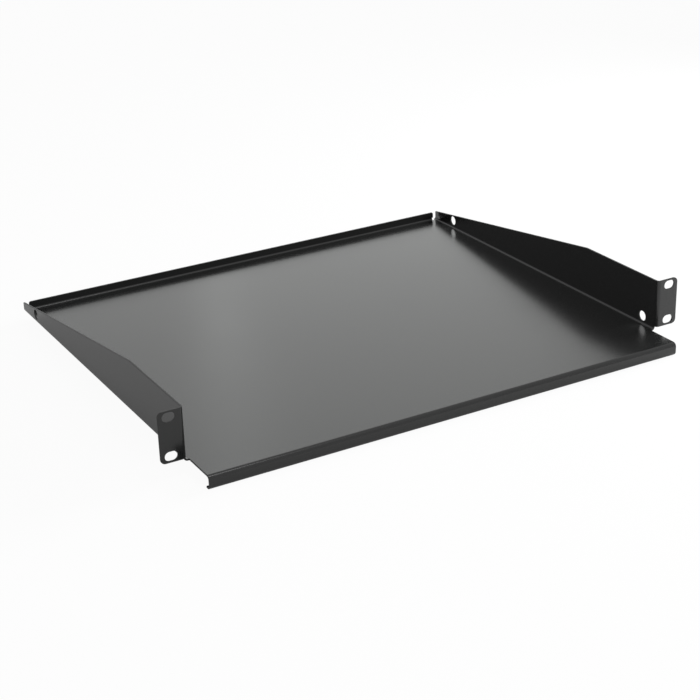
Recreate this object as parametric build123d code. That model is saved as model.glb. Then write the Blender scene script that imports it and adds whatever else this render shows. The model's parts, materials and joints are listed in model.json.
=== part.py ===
from build123d import *
import os

# A one-unit cantilever shelf for a 19-inch rack, cut and folded from a single steel sheet.
# Units are millimetres: X to the right, Y to the rear, Z up. The origin is the centre of the
# four bolt slots, on the rear face of the ears, which is the face that bears on the rack's rails.

# Rack standard: the panel that the two ears make together, and its bolt slots
panel_width = 482.6
panel_height = 42.2
slot_inset = 8.75
bolt_spacing_z = 31.75
slot_height = 7.6
slot_length = 10.4

# The ears, measured from the outer face of each wall
ear_reach = 19.6
ear_corner_radius = 4.0

# The sheet and its folds
sheet = 1.5
fold_radius = 1.8
lip_fold_radius = 2.2

# The tray: behind the ears' front face, ahead of it where it is narrower, and below the ears
body_depth = 350.0
front_reach = 30.3
front_inset = 4.4
tray_drop = 2.5

# The front lip, turned down and then back under the tray
front_lip_height = 11.7
front_lip_return = 6.0

# The rear lip, turned up, with an open slit beside each side wall
rear_lip_height = 9.0
rear_slit = 3.5
rear_lip_corner_radius = 1.8
corner_relief_radius = 1.5

# The side walls: low at the rear, a straight rise, then level up to the ears
wall_rear_height = 9.2
wall_level_length = 99.0
wall_corner_radius = 1.0

# Two round holes in each side wall: one behind the ears' front face, one ahead of the rear face
wall_hole_diameter = 9.0
wall_hole_height = 7.0
front_hole_setback = 19.0
rear_hole_setback = 33.0

# Widths, and planes of the faces, worked out from the sizes above
bolt_spacing_x = panel_width - 2 * slot_inset
body_width = panel_width - 2 * ear_reach
front_width = body_width - 2 * front_inset
ear_front_y = -sheet
front_face_y = ear_front_y - front_reach
rear_face_y = ear_front_y + body_depth
panel_bottom_z = -panel_height / 2
panel_top_z = panel_height / 2
tray_top_z = panel_bottom_z - tray_drop
tray_bottom_z = tray_top_z - sheet
wall_outer_x = body_width / 2
wall_inner_x = wall_outer_x - sheet
outer_fold_radius = fold_radius + sheet
outer_lip_fold_radius = lip_fold_radius + sheet
ear_fold_end_y = ear_front_y + outer_fold_radius
tray_fold_start_x = wall_outer_x - outer_fold_radius
rear_fold_start_y = rear_face_y - outer_fold_radius
fold_centre_z = tray_bottom_z + outer_fold_radius
front_hole_y = ear_front_y + front_hole_setback
rear_hole_y = rear_face_y - rear_hole_setback


def folded_section(corners, radius):
    """The cross-section of a folded sheet: a line along its convex side, thickened to the left."""
    line = FilletPolyline(*corners, radius=radius)
    return make_face(offset(line, amount=sheet, side=Side.LEFT))


def across_x(section, half_width):
    """Run a section drawn in Y and Z from one side of the shelf to the other."""
    plane = Plane(origin=(-half_width, 0, 0), x_dir=(0, 1, 0), z_dir=(1, 0, 0))
    return extrude(plane * section, amount=2 * half_width)


def along_y(section, start, end):
    """Run a section drawn in X and Z from the front of a stretch to its rear."""
    plane = Plane(origin=(0, end, 0), x_dir=(1, 0, 0), z_dir=(0, -1, 0))
    return extrude(plane * section, amount=end - start)


def channel():
    """The tray between the side walls, folded up into both walls along its whole length."""
    section = folded_section(
        [
            (-wall_outer_x, panel_top_z),
            (-wall_outer_x, tray_bottom_z),
            (wall_outer_x, tray_bottom_z),
            (wall_outer_x, panel_top_z),
        ],
        outer_fold_radius,
    )
    blank = along_y(section, ear_fold_end_y, rear_face_y)
    return (blank & wall_outline()) - rear_margin()


def wall_outline():
    """The side view of a wall, right across the shelf: what is kept of the folded channel."""
    rear_top_z = tray_bottom_z + wall_rear_height
    level_end_y = ear_front_y + wall_level_length
    outline = Polyline(
        (ear_fold_end_y, tray_bottom_z),
        (rear_face_y, tray_bottom_z),
        (rear_face_y, rear_top_z),
        (level_end_y, panel_top_z),
        (ear_fold_end_y, panel_top_z),
        close=True,
    )
    face = make_face(outline)
    rear_corner = face.vertices().sort_by_distance((rear_face_y, rear_top_z))[0]
    return across_x(fillet(rear_corner, wall_corner_radius), panel_width / 2)


def rear_margin():
    """The strip of tray behind the rear fold line, which stays only where the lip is."""
    margin = Box(2 * tray_fold_start_x, outer_fold_radius, 2 * outer_fold_radius)
    return Pos(0, rear_fold_start_y + outer_fold_radius / 2, tray_bottom_z) * margin


def front_tray():
    """The tray ahead of the side walls and its front lip, folded down and back underneath."""
    lip_bottom_z = tray_top_z - front_lip_height
    section = folded_section(
        [
            (outer_fold_radius, tray_top_z),
            (front_face_y, tray_top_z),
            (front_face_y, lip_bottom_z),
            (front_face_y + front_lip_return, lip_bottom_z),
        ],
        outer_lip_fold_radius,
    )
    return across_x(section, front_width / 2)


def rear_lip():
    """The lip along the rear edge, folded up, with both top corners rounded off."""
    section = folded_section(
        [
            (rear_fold_start_y - outer_fold_radius, tray_bottom_z),
            (rear_face_y, tray_bottom_z),
            (rear_face_y, tray_bottom_z + rear_lip_height),
        ],
        outer_fold_radius,
    )
    lip = across_x(section, wall_inner_x - rear_slit)
    corners = lip.edges().filter_by(Axis.Y).group_by(Axis.Z)[-1]
    return fillet(corners, rear_lip_corner_radius)


def corner_reliefs():
    """The round reliefs at the ends of the rear fold, drilled square through the middle of the bend."""
    outward = (Align.CENTER, Align.CENTER, Align.MAX)
    drill = Rot(45, 0, 0) * Cylinder(corner_relief_radius, 2 * outer_fold_radius, align=outward)
    centre_x = tray_fold_start_x - corner_relief_radius
    return [Pos(side * centre_x, rear_fold_start_y, fold_centre_z) * drill for side in (-1, 1)]


def ear(side):
    """One ear, folded outward from the front edge of its wall; side is 1 on the right."""
    section = folded_section(
        [
            (wall_inner_x, ear_fold_end_y + outer_fold_radius),
            (wall_inner_x, ear_front_y),
            (panel_width / 2, ear_front_y),
        ],
        outer_fold_radius,
    )
    plate = extrude(Plane.XY.offset(panel_bottom_z) * section, amount=panel_height)
    outer_corners = plate.edges().filter_by(Axis.Y).group_by(Axis.X)[-1]
    plate = fillet(outer_corners, ear_corner_radius)
    if side < 0:
        plate = mirror(plate, about=Plane.YZ)
    return plate


def bolt_slots():
    """The four oblong slots through the ears, on the rack's bolt pattern."""
    pattern = GridLocations(bolt_spacing_x, bolt_spacing_z, 2, 2)
    slots = Sketch() + pattern * SlotOverall(slot_length, slot_height)
    middle = Plane(origin=(0, ear_front_y / 2, 0), x_dir=(1, 0, 0), z_dir=(0, -1, 0))
    return extrude(middle * slots, amount=sheet, both=True)


def wall_holes():
    """A front and a rear hole in each side wall, drilled right across the shelf."""
    hole_z = tray_top_z + wall_hole_height
    drill = Rot(0, 90, 0) * Cylinder(wall_hole_diameter / 2, panel_width)
    return [Pos(0, hole_y, hole_z) * drill for hole_y in (front_hole_y, rear_hole_y)]


def shelf():
    """The whole shelf as one folded sheet."""
    body = channel() + front_tray() + rear_lip() + ear(1) + ear(-1)
    body -= corner_reliefs()
    body -= bolt_slots()
    body -= wall_holes()
    return body


os.makedirs("parts", exist_ok=True)
export_step(shelf().solid(), "parts/shelf.step")
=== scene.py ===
# %% [markdown]
# # A folded rack shelf
# The object is a low shelf for a 19-inch rack, cut from one steel sheet, folded on a press brake and powder
# coated black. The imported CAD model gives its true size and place. This scene builds the finished sheet around
# that model: the same folds and holes, with the soft rounded edges that a coat of powder leaves on cut steel.

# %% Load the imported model
import json
import math

import bpy
import numpy as np
from mathutils import Matrix, Vector
from mathutils.geometry import delaunay_2d_cdt


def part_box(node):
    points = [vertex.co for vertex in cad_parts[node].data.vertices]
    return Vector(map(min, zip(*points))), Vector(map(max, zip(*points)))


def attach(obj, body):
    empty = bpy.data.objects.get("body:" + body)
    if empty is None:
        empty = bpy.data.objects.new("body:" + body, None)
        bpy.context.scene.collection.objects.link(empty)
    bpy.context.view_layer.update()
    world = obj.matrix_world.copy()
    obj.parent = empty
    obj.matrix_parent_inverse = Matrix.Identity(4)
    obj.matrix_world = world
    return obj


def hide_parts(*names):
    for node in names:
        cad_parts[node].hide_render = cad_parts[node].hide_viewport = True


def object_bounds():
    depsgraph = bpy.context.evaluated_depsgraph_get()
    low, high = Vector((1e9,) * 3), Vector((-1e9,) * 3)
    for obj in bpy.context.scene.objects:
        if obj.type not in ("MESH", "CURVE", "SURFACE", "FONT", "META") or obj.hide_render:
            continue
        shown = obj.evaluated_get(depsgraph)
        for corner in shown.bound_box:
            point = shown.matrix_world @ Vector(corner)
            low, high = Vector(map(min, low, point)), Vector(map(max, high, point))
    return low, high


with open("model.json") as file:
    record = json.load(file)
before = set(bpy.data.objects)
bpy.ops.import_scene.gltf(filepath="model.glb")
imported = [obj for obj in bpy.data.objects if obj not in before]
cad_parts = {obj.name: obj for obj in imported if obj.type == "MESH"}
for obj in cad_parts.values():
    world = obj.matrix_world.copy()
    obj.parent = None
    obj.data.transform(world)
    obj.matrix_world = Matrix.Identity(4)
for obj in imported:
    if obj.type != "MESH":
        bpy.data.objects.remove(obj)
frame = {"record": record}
cad_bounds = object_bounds()
record = frame["record"]
print("CAD box, metres:", [tuple(corner) for corner in cad_bounds])

# %% [markdown]
# ## Sizes
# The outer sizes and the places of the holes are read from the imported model, so the scene follows the part. Only
# the sizes that no box or mount states, such as the folds' radii, are written here. All lengths in the flat
# pattern are millimetres, and the finished mesh is turned into metres at the end.

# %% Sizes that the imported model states
MM = 0.001
low, high = (np.array(corner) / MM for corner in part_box("shelf"))
mounts = {mount["name"]: mount for mount in record["mounts"]}
slots = mounts["rack_bolts"]["dims"]
wall_holes = mounts["right_wall_holes"]["dims"]
wall_holes_centre = np.array(mounts["right_wall_holes"]["pos_m"]) / MM

panel_half_width = high[0]
panel_top = high[2]
panel_bottom = -panel_top
front_face = low[1]
rear_face = high[1]
lip_bottom = low[2]
tray_z = mounts["tray_top"]["pos_m"][2] / MM
wall_outer = wall_holes_centre[0]
print(f"panel {2 * panel_half_width:.1f} wide, tray top at {tray_z:.1f}, walls at {wall_outer:.1f}")

# %% Sizes of the sheet, its folds and its corners
sheet = 1.5
fold_radius = 1.8
lip_fold_radius = 2.2
front_half_width = 217.3
lip_return = 6.0
rear_lip_height = 9.0
rear_slit = 3.5
relief_radius = 1.5
wall_level_end = 97.5
wall_rear_height = 9.2
ear_corner = 4.0
wall_corner = 1.0
lip_corner = 1.8
cut_corner = 0.6
edge_round = 0.3

quarter = math.pi / 2
rear_lip_top = tray_z - sheet + rear_lip_height
wall_rear_top = tray_z - sheet + wall_rear_height
outer_radius = fold_radius + sheet
lip_outer_radius = lip_fold_radius + sheet
wall_inner = wall_outer - sheet
inner_arc = fold_radius * quarter
ear_arc = outer_radius * quarter
lip_arc = lip_outer_radius * quarter
print(f"sheet {sheet} mm, folds of radius {fold_radius} and {lip_fold_radius} mm inside")

# %% [markdown]
# ## The sheet as a flat pattern that is rolled up
# A press brake doesn't stretch the sheet's skin: each fold rolls a flat strip round a cylinder. So the whole
# shelf can be drawn flat, as the cutting shop draws it, and then rolled into place by one formula. The other way,
# joining separate plates at their folds, leaves seams where the plates meet. Here the tray, walls, ears and lips
# stay one skin. The skin that is drawn is the upper and inner face, and s runs across it from the centre line.

# %% Roll a strip round its folds
def roll(distance, runs):
    """Where a strip gets to, as three arrays: the way along, the way up and the heading.

    runs is a list of (length, turn in radians). A run with no turn goes straight on. A fold of radius
    R = length / turn, from heading h to h + a, adds R (sin(h + a) - sin h) along and
    R (cos h - cos(h + a)) up.
    """
    along = np.zeros_like(distance)
    up = np.zeros_like(distance)
    heading = np.zeros_like(distance)
    start, before = 0.0, 0.0
    for length, turn in runs:
        done = np.clip(distance - start, 0, length)
        if turn:
            radius = length / turn
            angle = done / radius
            along += radius * (np.sin(before + angle) - np.sin(before))
            up += radius * (np.cos(before) - np.cos(before + angle))
            heading += angle
        else:
            along += done * np.cos(before)
            up += done * np.sin(before)
        start += length
        before += turn
    return along, up, heading


# %% Where each fold starts in the flat pattern, and the runs beyond it
wall_foot = tray_z + fold_radius
fold_s = wall_outer - outer_radius
wall_s = fold_s + inner_arc
ear_fold_y = -sheet + outer_radius
lip_fold_y = front_face + lip_outer_radius
rear_fold_y = rear_face - outer_radius
rear_lip_s = wall_inner - rear_slit
slit_s = (rear_lip_s + fold_s) / 2

across_runs = [(fold_s, 0), (inner_arc, quarter), (panel_top - wall_foot, 0)]
ear_runs = [(ear_arc, -quarter), (panel_half_width - wall_inner - outer_radius, 0)]
rear_runs = [(inner_arc, quarter), (rear_lip_top - wall_foot, 0)]
front_runs = [(lip_arc, -quarter), (tray_z - lip_bottom - 2 * lip_outer_radius, 0),
              (lip_arc, -quarter), (lip_return - lip_outer_radius, 0)]


def total(runs):
    """The length of a chain of runs along the sheet's skin."""
    return sum(length for length, turn in runs)


ear_low_s = wall_s + panel_bottom - wall_foot
ear_high_s = total(across_runs)
ear_end_y = ear_fold_y - total(ear_runs)
lip_end_y = lip_fold_y - total(front_runs)
rear_lip_end_y = rear_fold_y + total(rear_runs)
print(f"flat pattern {2 * ear_high_s:.1f} by {rear_lip_end_y - lip_end_y:.1f} mm")


# %% Fold the flat pattern into the shelf
def fold(points):
    """Map flat points (s, y) onto the shelf. Returns places, the skin's two tangents and its normal.

    Across, the strip rolls up at the wall's foot. Along, the tray rolls down into the front lip and up into the
    rear lip, and the wall rolls outward into the ear. This second roll happens in the plane of the y axis and
    the first roll's normal. The left half mirrors the right one.
    """
    s, y = np.abs(points[:, 0]), points[:, 1]
    side = np.where(points[:, 0] < 0, -1.0, 1.0)
    x, rise, heading = roll(s, across_runs)
    forward, forward_up, forward_turn = roll(lip_fold_y - y, front_runs)
    outward, outward_up, outward_turn = roll(ear_fold_y - y, ear_runs)
    back, back_up, back_turn = roll(y - rear_fold_y, rear_runs)
    where = [(s < fold_s) & (y < lip_fold_y), (s > fold_s) & (y < ear_fold_y), (s < slit_s) & (y > rear_fold_y)]
    place_y = np.select(where, [lip_fold_y - forward, ear_fold_y - outward, rear_fold_y + back], y)
    lift = np.select(where, [forward_up, outward_up, back_up], 0.0)
    turn = np.select(where, [-forward_turn, -outward_turn, back_turn], 0.0)
    normal_x, normal_z = -np.sin(heading) * side, np.cos(heading)
    places = np.stack([side * x + lift * normal_x, place_y, tray_z + rise + lift * normal_z], 1)
    across = np.stack([np.cos(heading), np.zeros_like(s), np.sin(heading) * side], 1)
    along = np.stack([np.sin(turn) * normal_x, np.cos(turn), np.sin(turn) * normal_z], 1)
    normals = np.stack([np.cos(turn) * normal_x, -np.sin(turn), np.cos(turn) * normal_z], 1)
    return places, across, along, normals


# %% [markdown]
# ## The cut outline
# The outline is a chain of corners, each with its own radius, and each hole is a chain of its own. A cut corner
# is never perfectly sharp, so every corner gets a small arc. Every chain runs with the sheet on its left, which
# later tells the code which way is outward.

# %% Draw outlines with rounded corners
def rounded(corners, steps=6):
    """A closed chain from (s, y, radius) corners: its points and, at each one, the direction outward.

    Each corner becomes an arc that touches both its sides. The arc starts radius * tan(turn / 2) before the
    corner. With a the direction of arrival, outward turns from (a_y, -a_x) by the corner's own turn.
    """
    here, radius = corners[:, :2], corners[:, 2]
    leave = np.roll(here, -1, 0) - here
    leave /= np.linalg.norm(leave, axis=1)[:, None]
    arrive = np.roll(leave, 1, 0)
    turn = np.arctan2(arrive[:, 0] * leave[:, 1] - arrive[:, 1] * leave[:, 0], (arrive * leave).sum(1))
    angle = (np.linspace(0, 1, steps + 1) * turn[:, None])[..., None]
    off = np.stack([arrive[:, 1], -arrive[:, 0]], 1)
    outward = np.cos(angle) * off[:, None] + np.sin(angle) * arrive[:, None]
    arm = (np.sign(turn) * radius)[:, None]
    centre = here - arrive * (radius * np.tan(np.abs(turn) / 2))[:, None] - arm * off
    points = (centre[:, None] + arm[:, None] * outward).reshape(-1, 2)
    apart = np.linalg.norm(points - np.roll(points, 1, 0), axis=1) > 1e-6
    return points[apart], outward.reshape(-1, 2)[apart]


def mirrored(corners):
    """The same corners on the other side of the shelf, in the order that keeps the sheet on the left."""
    return corners[::-1] * (-1, 1, 1)


def slot(centre, length, width):
    """The corners of a hole with round ends, long along y. With length equal to width it is a circle."""
    s, y = width / 2, length / 2
    return np.array([(-s, -y, s), (-s, y, s), (s, y, s), (s, -y, s)]) + (*centre, 0)


# %% The right half of the outline, from the front lip round to the rear lip
relief_s = fold_s - 2 * relief_radius
relief_front_y = rear_fold_y + inner_arc / 2 - relief_radius
relief_end_radius = rear_lip_s - relief_s - cut_corner

half_outline = np.array([
    (front_half_width, lip_end_y, cut_corner),
    (front_half_width, ear_fold_y, cut_corner),
    (ear_low_s, ear_fold_y, cut_corner),
    (ear_low_s, ear_end_y, ear_corner),
    (ear_high_s, ear_end_y, ear_corner),
    (ear_high_s, wall_level_end, cut_corner),
    (wall_s + wall_rear_top - wall_foot, rear_face, wall_corner),
    (fold_s, rear_face, cut_corner),
    (fold_s, relief_front_y, relief_radius),
    (relief_s, relief_front_y, relief_radius),
    (relief_s, relief_front_y + 2 * relief_radius, relief_end_radius),
    (rear_lip_s, relief_front_y + 2 * relief_radius, cut_corner),
    (rear_lip_s, rear_lip_end_y, lip_corner),
])
outline = rounded(np.concatenate([half_outline, mirrored(half_outline)]))
print(f"outline of {len(outline[0])} points")

# %% The holes: four slots in the ears and two round holes in each wall
HOLE_STEPS = 12
slot_y = ear_fold_y - ear_arc - (slots["spacing_x_mm"] / 2 - wall_inner - outer_radius)
slot_mid_s = wall_s - wall_foot
hole_s = wall_s + wall_holes_centre[2] - wall_foot
hole_size = 2 * wall_holes["hole_r_mm"]

right_holes = [slot((slot_mid_s + up * slots["spacing_y_mm"] / 2, slot_y), slots["slot_length_mm"],
                    2 * slots["hole_r_mm"]) for up in (-1, 1)]
right_holes += [slot((hole_s, wall_holes_centre[1] + back * wall_holes["spacing_x_mm"] / 2), hole_size, hole_size)
                for back in (-1, 1)]
holes = [rounded(hole, HOLE_STEPS) for right in right_holes for hole in (right, mirrored(right))]
print(f"{len(holes)} holes")


# %% [markdown]
# ## From outline to mesh
# A powder coat rounds each cut edge. So the skin stops a little short of the true outline, by the rounding's
# radius, and a rolled rim goes over the edge to the other face. The skin is filled with triangles by a Delaunay
# fill. Lines drawn across each fold keep the triangles from bridging the bend, and a wide grid keeps the rest
# even.

# %% Move each chain inward, and keep the direction outward at its points
rim_chains = [points - edge_round * outward for points, outward in [outline, *holes]]
rim_outward = np.concatenate([outward for points, outward in [outline, *holes]])

# %% Lines that the triangles must follow
FOLD_STEPS = 9
GRID = 16.0


def stops(start, runs):
    """Stations along a chain of runs: close together in the folds, and wide apart on the flats."""
    found = [start]
    for length, turn in runs:
        steps = FOLD_STEPS if turn else max(1, round(length / GRID))
        found += list(found[-1] + np.linspace(0, length, steps + 1)[1:])
    return np.array(found)


half_across = stops(0, across_runs)
tray_across = half_across[half_across < fold_s + 1e-6]
tray_along = np.linspace(0, rear_fold_y, round(rear_fold_y / GRID) + 1)
front_along = lip_fold_y - stops(0, front_runs)
rear_along = stops(rear_fold_y, rear_runs)
ear_along = ear_fold_y - stops(0, ear_runs)
margin = 5.0

lines = [((side * s, lip_end_y - margin), (side * s, rear_lip_end_y + margin)) for s in half_across
         for side in (-1, 1)]
lines += [((-ear_high_s - margin, y), (ear_high_s + margin, y)) for y in [*tray_along, ear_fold_y]]
lines += [((-fold_s, y), (fold_s, y)) for y in [*front_along, *rear_along]]
lines += [((side * fold_s, y), (side * (ear_high_s + margin), y)) for y in ear_along for side in (-1, 1)]
print(f"{len(lines)} lines across folds and flats")


# %% Fill the flat pattern with triangles
def inside(points, loops):
    """True for each point that an odd number of the loops' sides pass on its right."""
    crossings = np.zeros(len(points), int)
    for loop in loops:
        a, b = loop, np.roll(loop, -1, 0)
        straddles = (a[None, :, 1] > points[:, 1:]) != (b[None, :, 1] > points[:, 1:])
        with np.errstate(divide="ignore", invalid="ignore"):
            share = (points[:, 1:] - a[None, :, 1]) / (b[:, 1] - a[:, 1])[None, :]
        reach = a[None, :, 0] + share * (b[:, 0] - a[:, 0])[None, :]
        crossings += (straddles & (points[:, :1] < reach)).sum(1)
    return crossings % 2 == 1


def filled(loops, lines, tolerance=0.01):
    """Triangles over the area inside the loops, with every loop and line kept as edges."""
    points, edges = [], []
    for loop in loops:
        first = len(points)
        points += [Vector(p) for p in loop]
        edges += [(first + i, first + (i + 1) % len(loop)) for i in range(len(loop))]
    for ends in lines:
        edges.append((len(points), len(points) + 1))
        points += [Vector(p) for p in ends]
    flat, _, faces, *_ = delaunay_2d_cdt(points, edges, [], 0, tolerance)
    flat = np.array([tuple(p) for p in flat])
    faces = np.array([tuple(face) for face in faces])
    faces = faces[inside(flat[faces].mean(1), loops)]
    used, faces = np.unique(faces, return_inverse=True)
    return flat[used], faces.reshape(-1, 3)


flat, triangles = filled(rim_chains, lines)
print(f"skin of {len(flat)} points and {len(triangles)} triangles")


# %% Find the rim of the skin
def rim_of(points, faces):
    """The skin's border: the numbers of its points, and for each the place in that list of the next one."""
    sides = np.concatenate([faces[:, [0, 1]], faces[:, [1, 2]], faces[:, [2, 0]]])
    key = sides[:, 0] * len(points) + sides[:, 1]
    back = sides[:, 1] * len(points) + sides[:, 0]
    border = sides[~np.isin(key, back)]
    here, after = border[np.argsort(border[:, 0])].T
    return here, np.searchsorted(here, after)


def blended(points, loops, directions):
    """The direction outward at points that lie on the loops: a blend of the directions at the ends of their side."""
    start, end = np.concatenate(loops), np.concatenate([np.roll(loop, -1, 0) for loop in loops])
    starts = np.cumsum([0, *map(len, loops)])
    after = np.concatenate([np.roll(np.arange(a, b), -1) for a, b in zip(starts, starts[1:])])
    side = end - start
    share = np.clip(((points[:, None] - start) * side).sum(2) / (side ** 2).sum(1), 0, 1)
    gap = np.linalg.norm(points[:, None] - start - share[..., None] * side, axis=2)
    nearest = gap.argmin(1)
    share = share[np.arange(len(points)), nearest][:, None]
    direction = (1 - share) * directions[nearest] + share * directions[after[nearest]]
    return direction / np.linalg.norm(direction, axis=1)[:, None]


rim, rim_next = rim_of(flat, triangles)
rim_off = blended(flat[rim], rim_chains, rim_outward)
print(f"rim of {len(rim)} points")

# %% [markdown]
# ## Both faces and the rolled rim
# The other face of the sheet lies one thickness below the skin, along its normal. The rim is a profile carried
# along the border: a quarter round, the flat of the cut, and a quarter round down to the other face. Each vertex
# gets its true normal, so the folds shade as smooth cylinders, and the flats as true flats.

# %% Carry the rim's profile along the border
ROUND_STEPS = 4
lean = np.linspace(0, quarter, ROUND_STEPS + 1)
lean = np.concatenate([lean[1:], math.pi - lean[:0:-1]])
profile_out = edge_round * np.sin(lean)
profile_down = np.repeat([edge_round, sheet - edge_round], ROUND_STEPS) - edge_round * np.cos(lean)

places, across, along, normals = fold(flat)
off = rim_off[:, :1] * across[rim] + rim_off[:, 1:] * along[rim]
rings = places[rim] + profile_out[:, None, None] * off - profile_down[:, None, None] * normals[rim]
ring_normals = np.cos(lean)[:, None, None] * normals[rim] + np.sin(lean)[:, None, None] * off

vertices = np.concatenate([places, places - sheet * normals, rings.reshape(-1, 3)])
vertex_normals = np.concatenate([normals, -normals, ring_normals.reshape(-1, 3)])
ring_numbers = 2 * len(flat) + np.arange(rings.shape[0] * len(rim)).reshape(rings.shape[0], -1)
ring_numbers = np.concatenate([rim[None], ring_numbers, rim[None] + len(flat)])
quads = np.stack([ring_numbers[:-1], ring_numbers[1:], ring_numbers[1:][:, rim_next], ring_numbers[:-1][:, rim_next]],
                 -1).reshape(-1, 4)


# %% Make the mesh
def mesh_object(name, points, faces, point_normals):
    """A mesh object at the origin from points in millimetres, a list of face arrays and each point's own normal."""
    corners = np.concatenate([part.ravel() for part in faces])
    sizes = np.concatenate([np.full(len(part), part.shape[1]) for part in faces])
    mesh = bpy.data.meshes.new(name)
    mesh.vertices.add(len(points))
    mesh.vertices.foreach_set("co", (points * MM).astype(np.float32).ravel())
    mesh.loops.add(len(corners))
    mesh.loops.foreach_set("vertex_index", corners.astype(np.int32))
    mesh.polygons.add(len(sizes))
    mesh.polygons.foreach_set("loop_start", (np.cumsum(sizes) - sizes).astype(np.int32))
    mesh.polygons.foreach_set("loop_total", sizes.astype(np.int32))
    mesh.update(calc_edges=True)
    mesh.validate()
    mesh.shade_smooth()
    mesh.normals_split_custom_set_from_vertices(point_normals.tolist())
    piece = bpy.data.objects.new(name, mesh)
    bpy.context.scene.collection.objects.link(piece)
    return piece


shelf = mesh_object("shelf_sheet", vertices, [triangles, triangles[:, ::-1] + len(flat), quads], vertex_normals)
cut_edge = (np.arange(len(vertices)) >= 2 * len(flat)).astype(np.float32)
shelf.data.attributes.new("cut_edge", "FLOAT", "POINT").data.foreach_set("value", cut_edge)
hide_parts("shelf")
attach(shelf, "root")
print(f"{shelf.name}: {len(shelf.data.polygons)} faces")

# %% [markdown]
# ## Powder coat
# Powder coat is a thin plastic film, melted onto the steel. Its own colour is almost black, so nearly all that
# the eye sees is the room mirrored in the film: bright where the sheet is seen at a low angle, and dark where it
# is seen straight on. The film sets with a faint orange peel, which blurs the mirror a little more here than
# there. On a cut edge the film pulls thin and stays dull, which the mesh marks with its cut_edge attribute. The
# rest follows Object coordinates, so the finish stays put on the metal. A coat on top of a base would be the other
# way to make it, but the film is the only layer that light reaches, so one shader is enough.

# %% Helpers for node materials
def node(tree, kind, **inputs):
    """Add a node and set its inputs by name, or its own settings where it has no such input."""
    made = tree.nodes.new(kind)
    for name, value in inputs.items():
        socket = made.inputs.get(name.replace("_", " "))
        if socket is None:
            setattr(made, name, value)
        else:
            socket.default_value = value
    return made


DARK_FILM = (0.0084, 0.0087, 0.0085, 1)
PALE_FILM = (0.0107, 0.0111, 0.0109, 1)
SMOOTHEST, ROUGHEST, CUT_EDGE_ROUGHNESS = 0.19, 0.23, 0.55
CLOUD_SCALE = 7.0
PEEL_SCALE = 620.0
PEEL_DEPTH = 0.04 * MM


def powder_coat():
    """Satin black powder coat: a near-black film with a soft mirror, uneven gloss and a fine orange peel."""
    material = bpy.data.materials.new("black_powder_coat")
    material.use_nodes = True
    tree = material.node_tree
    film = tree.nodes["Principled BSDF"]
    film.inputs["IOR"].default_value = 1.5
    place = node(tree, "ShaderNodeTexCoord")
    clouds = node(tree, "ShaderNodeTexNoise", Scale=CLOUD_SCALE, Detail=3.0, Roughness=0.5)
    peel = node(tree, "ShaderNodeTexNoise", Scale=PEEL_SCALE, Detail=2.0, Roughness=0.45)
    gloss = node(tree, "ShaderNodeMapRange", From_Min=0.3, From_Max=0.7, To_Min=SMOOTHEST, To_Max=ROUGHEST)
    edge = node(tree, "ShaderNodeAttribute", attribute_name="cut_edge")
    dull = node(tree, "ShaderNodeMapRange", To_Max=CUT_EDGE_ROUGHNESS)
    tint = node(tree, "ShaderNodeMix", data_type="RGBA")
    tint.inputs["A"].default_value = DARK_FILM
    tint.inputs["B"].default_value = PALE_FILM
    bump = node(tree, "ShaderNodeBump", Strength=0.12, Distance=PEEL_DEPTH)
    for texture in (clouds, peel):
        tree.links.new(place.outputs["Object"], texture.inputs["Vector"])
    tree.links.new(clouds.outputs["Fac"], gloss.inputs["Value"])
    tree.links.new(edge.outputs["Fac"], dull.inputs["Value"])
    tree.links.new(gloss.outputs["Result"], dull.inputs["To Min"])
    tree.links.new(dull.outputs["Result"], film.inputs["Roughness"])
    tree.links.new(clouds.outputs["Fac"], tint.inputs["Factor"])
    tree.links.new(tint.outputs["Result"], film.inputs["Base Color"])
    tree.links.new(peel.outputs["Fac"], bump.inputs["Height"])
    tree.links.new(bump.outputs["Normal"], film.inputs["Normal"])
    return material


shelf.data.materials.append(powder_coat())
print("material:", shelf.data.materials[0].name)

# %% [markdown]
# ## Studio
# The shelf lies on a white sweep in a white room. White shows to the camera, and in the coat's mirror, by the
# sweep's own colour, not by more light: a part of what such a ray sees of it is a plain white, and the rest is
# the lit surface, which keeps the shelf's shadow. The walls, ears and lips are near-vertical mirrors of the
# floor just in front of them, so how the lamps light the floor shows in them too.

# %% White that only some rays see
def seen_as(tree, camera, glossy, others):
    """A value that depends on the ray: one for camera and transmission rays, one for glossy rays, one for the rest.

    It is others + (camera - others) * max(is camera, is transmission) + (glossy - others) * is glossy.
    """
    ray = node(tree, "ShaderNodeLightPath")
    direct = node(tree, "ShaderNodeMath", operation="MAXIMUM")
    first = node(tree, "ShaderNodeMapRange", To_Min=others, To_Max=camera)
    both = node(tree, "ShaderNodeMapRange", To_Max=glossy)
    tree.links.new(ray.outputs["Is Camera Ray"], direct.inputs[0])
    tree.links.new(ray.outputs["Is Transmission Ray"], direct.inputs[1])
    tree.links.new(direct.outputs["Value"], first.inputs["Value"])
    tree.links.new(ray.outputs["Is Glossy Ray"], both.inputs["Value"])
    tree.links.new(first.outputs["Result"], both.inputs["To Min"])
    return both.outputs["Result"]


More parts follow.
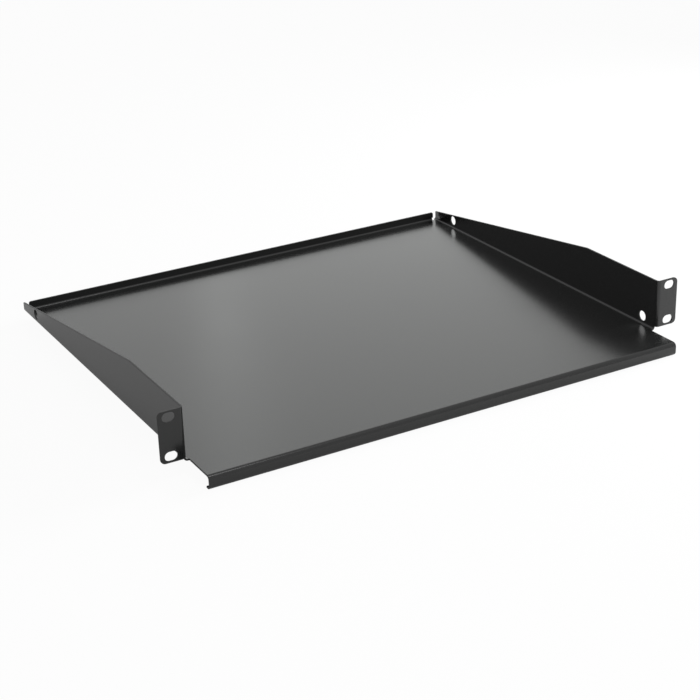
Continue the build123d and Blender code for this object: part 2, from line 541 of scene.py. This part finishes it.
# %% Floor
def white_floor():
    """A white diffuse floor. The camera sees most of it, and the coat's mirror a part of it, as plain white."""
    material = bpy.data.materials.new("white_sweep")
    material.use_nodes = True
    tree = material.node_tree
    tree.nodes.clear()
    paper = node(tree, "ShaderNodeBsdfDiffuse", Color=(0.85, 0.85, 0.85, 1))
    white = node(tree, "ShaderNodeEmission", Strength=1.0)
    mix = node(tree, "ShaderNodeMixShader")
    out = node(tree, "ShaderNodeOutputMaterial")
    tree.links.new(seen_as(tree, camera=0.95, glossy=0.3, others=0.0), mix.inputs[0])
    tree.links.new(paper.outputs[0], mix.inputs[1])
    tree.links.new(white.outputs[0], mix.inputs[2])
    tree.links.new(mix.outputs[0], out.inputs[0])
    return material


FLOOR_SIZE = 12.0
half = FLOOR_SIZE / 2
floor_z = cad_bounds[0].z
floor_corners = [(x, y, floor_z) for x, y in ((-half, -half), (half, -half), (half, half), (-half, half))]
floor_mesh = bpy.data.meshes.new("floor")
floor_mesh.from_pydata(floor_corners, [], [(0, 1, 2, 3)])
floor = bpy.data.objects.new("floor", floor_mesh)
floor.data.materials.append(white_floor())
bpy.context.scene.collection.objects.link(floor)
print(f"floor at {floor_z:.4f} m")

# %% The room: white behind the floor, softer in the mirror, and a low even light
world = bpy.data.worlds.new("studio")
world.use_nodes = True
bpy.context.scene.world = world
sky = world.node_tree.nodes["Background"]
sky.inputs["Color"].default_value = (1, 1, 1, 1)
world.node_tree.links.new(seen_as(world.node_tree, camera=1.0, glossy=0.8, others=0.25), sky.inputs["Strength"])
print("world:", world.name)

# %% [markdown]
# ## Lamps
# The tray shows what stands behind the shelf, so its tones are three wide, dim panels there, which fade from right
# to left as a window's light does. One panel overhead draws the fine bright line on the left end of the front
# fold. The walls, ears and lips show the floor, and two low panels, in front and on the right, light it. Their
# own image would glare in the coat from other sides, so it is left out of the mirror.

# %% Lamps
def panel_lamp(name, place, aim, size, level, colour=(1, 1, 1), mirrored=True):
    """A flat rectangular lamp that the camera doesn't see. Its power is level times pi times its area.

    One that isn't mirrored leaves no glare in the coat, and only lights what it falls on.
    """
    data = bpy.data.lights.new(name, "AREA")
    data.color = colour
    data.shape = "RECTANGLE"
    data.size, data.size_y = size
    data.energy = level * math.pi * size[0] * size[1]
    lamp = bpy.data.objects.new(name, data)
    lamp.location = place
    lamp.rotation_euler = (Vector(aim) - Vector(place)).to_track_quat("-Z", "Y").to_euler()
    lamp.visible_camera = False
    lamp.visible_glossy = mirrored
    bpy.context.scene.collection.objects.link(lamp)
    return lamp


WINDOW = (0.97, 1.0, 0.98)
panel_lamp("rear_middle", (1.25, 2.1, 1.1), (0, 0.1, 0), (1.0, 1.4), 0.64, WINDOW)
panel_lamp("rear_left", (0.4, 2.3, 1.1), (0, 0.1, 0), (1.0, 1.4), 0.46, WINDOW)
panel_lamp("rear_low", (1.3, 2.1, 0.35), (0, 0.1, 0), (2.4, 0.5), 0.95, WINDOW)
panel_lamp("overhead", (0.12, -0.4, 1.5), (0.12, 0.0, 0), (0.6, 0.42), 5.0)
panel_lamp("front_low", (0.1, -1.6, 0.6), (0.1, 0.1, 0), (0.5, 0.4), 12.5, mirrored=False)
panel_lamp("right_low", (1.0, 0.15, 0.35), (0.25, -0.1, 0), (0.6, 0.4), 26.0, mirrored=False)
print(f"{len(bpy.data.lights)} lamps")

# %% [markdown]
# ## Camera
# The camera's place, direction and lens come from a fit of the shelf's real edges to the photograph. Its axes are
# worked out from yaw, pitch and roll, because an aim at one point would leave the roll out.

# %% Camera
CAMERA_PLACE = (-0.636866, -0.997364, 0.537224)
CAMERA_YAW, CAMERA_PITCH, CAMERA_ROLL = (math.radians(angle) for angle in (-29.199, -23.895, -1.765))
IMAGE_PIXELS = 700
FOCAL_PIXELS = 1639.57

ahead = Vector((-math.sin(CAMERA_YAW) * math.cos(CAMERA_PITCH), math.cos(CAMERA_YAW) * math.cos(CAMERA_PITCH),
                math.sin(CAMERA_PITCH)))
level_right = Vector((math.cos(CAMERA_YAW), math.sin(CAMERA_YAW), 0))
level_up = level_right.cross(ahead)
right = math.cos(CAMERA_ROLL) * level_right + math.sin(CAMERA_ROLL) * level_up
up = -math.sin(CAMERA_ROLL) * level_right + math.cos(CAMERA_ROLL) * level_up

camera_data = bpy.data.cameras.new("camera")
camera_data.sensor_width = 36.0
camera_data.lens = FOCAL_PIXELS / IMAGE_PIXELS * camera_data.sensor_width
camera = bpy.data.objects.new("camera", camera_data)
camera.matrix_world = Matrix.Translation(CAMERA_PLACE) @ Matrix((right, up, -ahead)).transposed().to_4x4()
bpy.context.scene.collection.objects.link(camera)
bpy.context.scene.camera = camera
bpy.context.scene.view_settings.view_transform = "Standard"
print(f"lens {camera_data.lens:.1f} mm")
